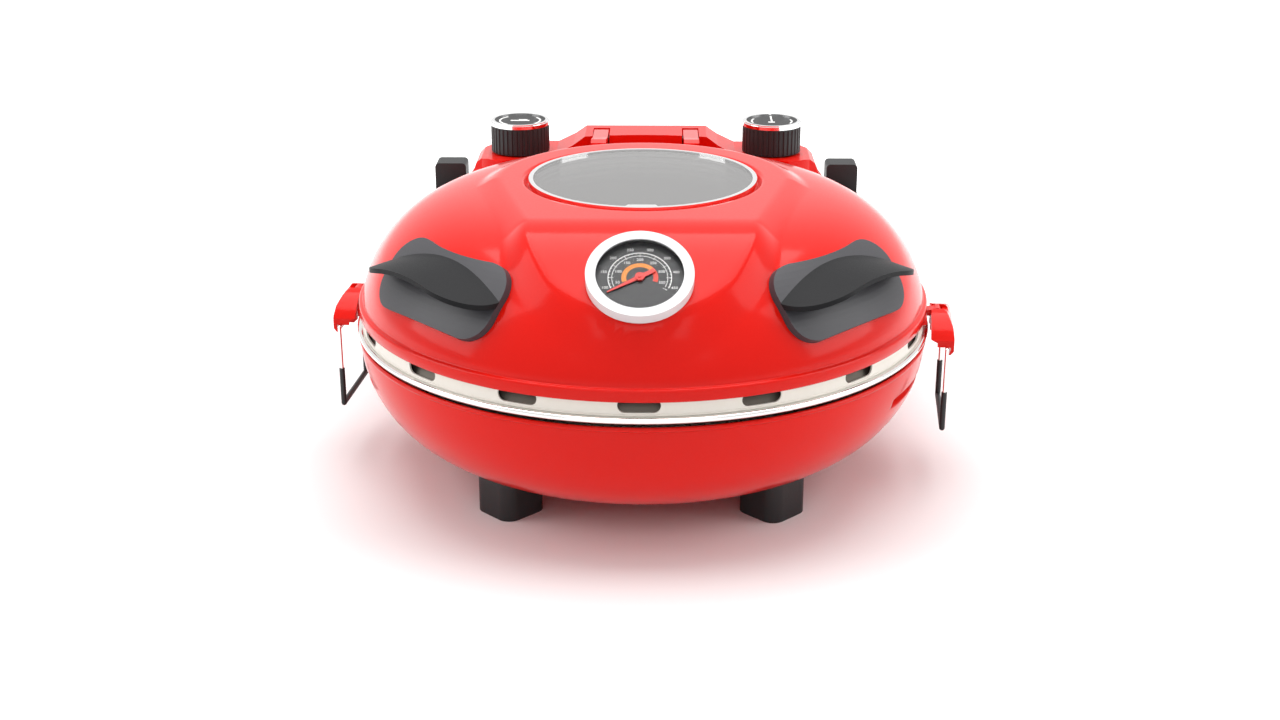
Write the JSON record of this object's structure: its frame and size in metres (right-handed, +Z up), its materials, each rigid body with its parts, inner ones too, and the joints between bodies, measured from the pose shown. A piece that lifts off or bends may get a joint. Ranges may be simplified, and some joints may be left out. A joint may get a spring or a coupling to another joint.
{
  "type": "countertop pizza maker",
  "caption": "Round countertop electric pizza oven with a hinged domed lid, window, dial gauge, side latches and rear control knobs.",
  "frame": {"origin": "on the table plane, under the middle of the whole object (20.2 mm behind the centre of the round bowl)", "axes": "+Z up, +X to the right seen from the front, +Y to the rear (hinge side)"},
  "size_m": [0.3796, 0.3876, 0.1823],
  "materials": {
    "red": "gloss",
    "red_housing": "gloss",
    "black_plastic": "satin",
    "grip": "satin",
    "steel": "satin",
    "chrome": "polished",
    "element": "dull",
    "stone": "rough",
    "cream": "satin",
    "band": "satin",
    "glass": "clear",
    "gasket": "matt",
    "white": "gloss",
    "dial": "printed",
    "needle": "satin"
  },
  "bodies": {
    "base": {"base_bowl": "red", "chamber_liner": "steel", "liner_spacers": "steel", "liner_screws": "steel", "lower_element": "element", "lower_element_posts": "steel", "pizza_stone": "stone", "foot_front_left": "black_plastic", "foot_front_right": "black_plastic", "foot_rear_left": "black_plastic", "foot_rear_right": "black_plastic", "foot_screws": "steel", "console_housing": "red_housing", "console_bolts": "steel", "console_back_cover": "black_plastic", "cover_screws": "steel", "stand_foot_left": "black_plastic", "stand_foot_right": "black_plastic", "hinge_pin": "steel", "cord_gland": "black_plastic", "terminal_block": "cream", "timer_body": "cream", "thermostat_body": "steel", "thermostat_probe": "steel"},
    "lid": {"lid_shell": "red", "lid_vent_band": "band", "lid_rim_ring": "chrome", "lid_reflector": "steel", "upper_element": "element", "upper_element_clips": "steel", "window_gasket": "gasket", "window_glass": "glass", "window_trim_ring": "chrome", "gauge_case": "steel", "gauge_stem": "steel", "gauge_dial": "dial", "gauge_lens": "glass", "gauge_bezel": "white", "handle_plate_left": "grip", "handle_plate_right": "grip", "handle_grip_left": "grip", "handle_grip_right": "grip", "handle_screws": "steel", "hinge_arms": "red", "latch_bracket_left": "red", "latch_bracket_right": "red"},
    "gauge_needle": {"gauge_needle": "needle"},
    "timer_knob": {"timer_knob": "black_plastic", "timer_knob_trim": "chrome", "timer_shaft": "steel"},
    "thermostat_knob": {"thermostat_knob": "black_plastic", "thermostat_knob_trim": "chrome", "thermostat_shaft": "steel"},
    "latch_lever_left": {"latch_lever_left": "red"},
    "latch_lever_right": {"latch_lever_right": "red"},
    "latch_wire_left": {"latch_wire_left": "chrome", "latch_sleeve_left": "black_plastic"},
    "latch_wire_right": {"latch_wire_right": "chrome", "latch_sleeve_right": "black_plastic"}
  },
  "joints": [
    {"name": "lid_hinge", "type": "hinge", "parent": "base", "child": "lid", "pos_m": [0, 0.1658, 0.158], "axis": [-1, 0, 0], "range_deg": [0, 95]},
    {"name": "gauge_needle_turn", "type": "hinge", "parent": "lid", "child": "gauge_needle", "pos_m": [0, -0.1607, 0.1661], "axis": [0, 0.5446, -0.8387], "range_deg": [0, 240], "stiffness_Nm_per_rad": 0.0005},
    {"name": "timer_knob_turn", "type": "hinge", "parent": "base", "child": "timer_knob", "pos_m": [-0.087, 0.1548, 0.16], "axis": [0, 0, -1], "range_deg": [0, 300]},
    {"name": "thermostat_knob_turn", "type": "hinge", "parent": "base", "child": "thermostat_knob", "pos_m": [0.087, 0.1548, 0.16], "axis": [0, 0, -1], "range_deg": [0, 270]},
    {"name": "latch_lever_left_flip", "type": "hinge", "parent": "lid", "child": "latch_lever_left", "pos_m": [-0.17768, -0.00309, 0.1037], "axis": [0.0958, 0.9954, 0], "range_deg": [0, 152.5]},
    {"name": "latch_wire_left_swing", "type": "hinge", "parent": "latch_lever_left", "child": "latch_wire_left", "pos_m": [-0.18319, -0.00256, 0.08805], "axis": [0.0958, 0.9954, 0], "range_deg": [-165.33, 0]},
    {"name": "latch_lever_right_flip", "type": "hinge", "parent": "lid", "child": "latch_lever_right", "pos_m": [0.17768, -0.03731, 0.1037], "axis": [-0.0958, -0.9954, 0], "range_deg": [0, 152.5]},
    {"name": "latch_wire_right_swing", "type": "hinge", "parent": "latch_lever_right", "child": "latch_wire_right", "pos_m": [0.18319, -0.03784, 0.08805], "axis": [-0.0958, -0.9954, 0], "range_deg": [-165.33, 0]}
  ],
  "couplings": [
    {"joint": "latch_wire_left_swing", "follows": "latch_lever_left_flip", "ratio": -1.0838},
    {"joint": "latch_wire_right_swing", "follows": "latch_lever_right_flip", "ratio": -1.0838}
  ]
}
